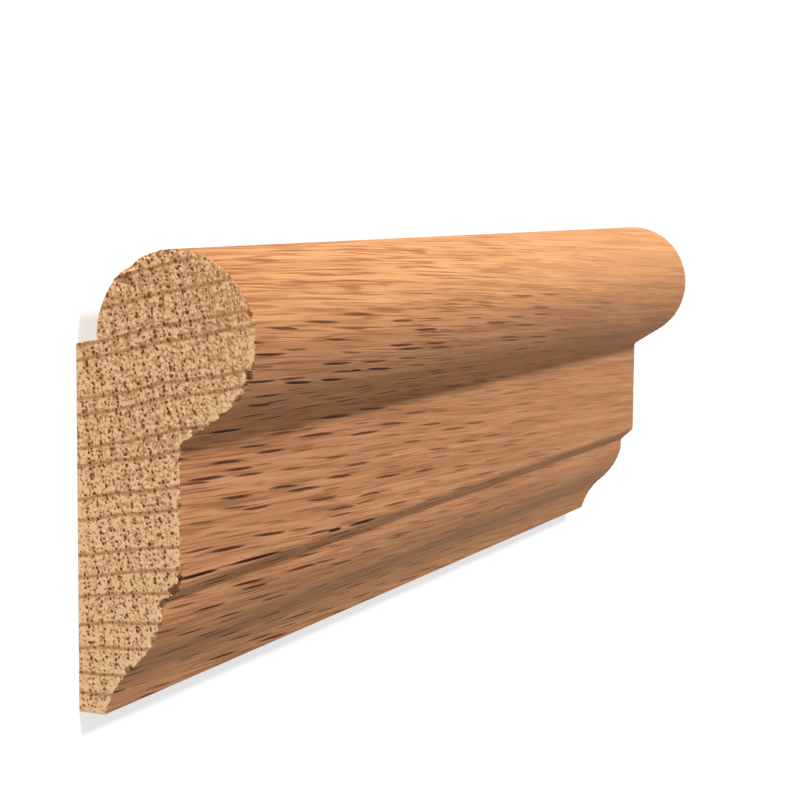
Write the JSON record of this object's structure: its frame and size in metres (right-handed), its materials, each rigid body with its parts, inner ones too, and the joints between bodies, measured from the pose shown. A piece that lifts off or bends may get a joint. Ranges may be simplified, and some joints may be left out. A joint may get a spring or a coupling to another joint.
{
  "type": "picture rail moulding",
  "caption": "Short length of unfinished oak picture rail: flat back, round hook bead with a narrow gap behind it, flat band and ogee foot, sawn square at both ends.",
  "frame": {"origin": "under the middle of the rail, on the plane of its flat back", "axes": "+X along the rail, +Y towards the hook bead (up on a wall), +Z out of the wall, away from the flat back"},
  "size_m": [0.1396, 0.0444, 0.019],
  "materials": {
    "oak": "bare red oak, planed faces and sawn ends"
  },
  "bodies": {
    "root": {"picture_rail": "oak"}
  },
  "joints": []
}
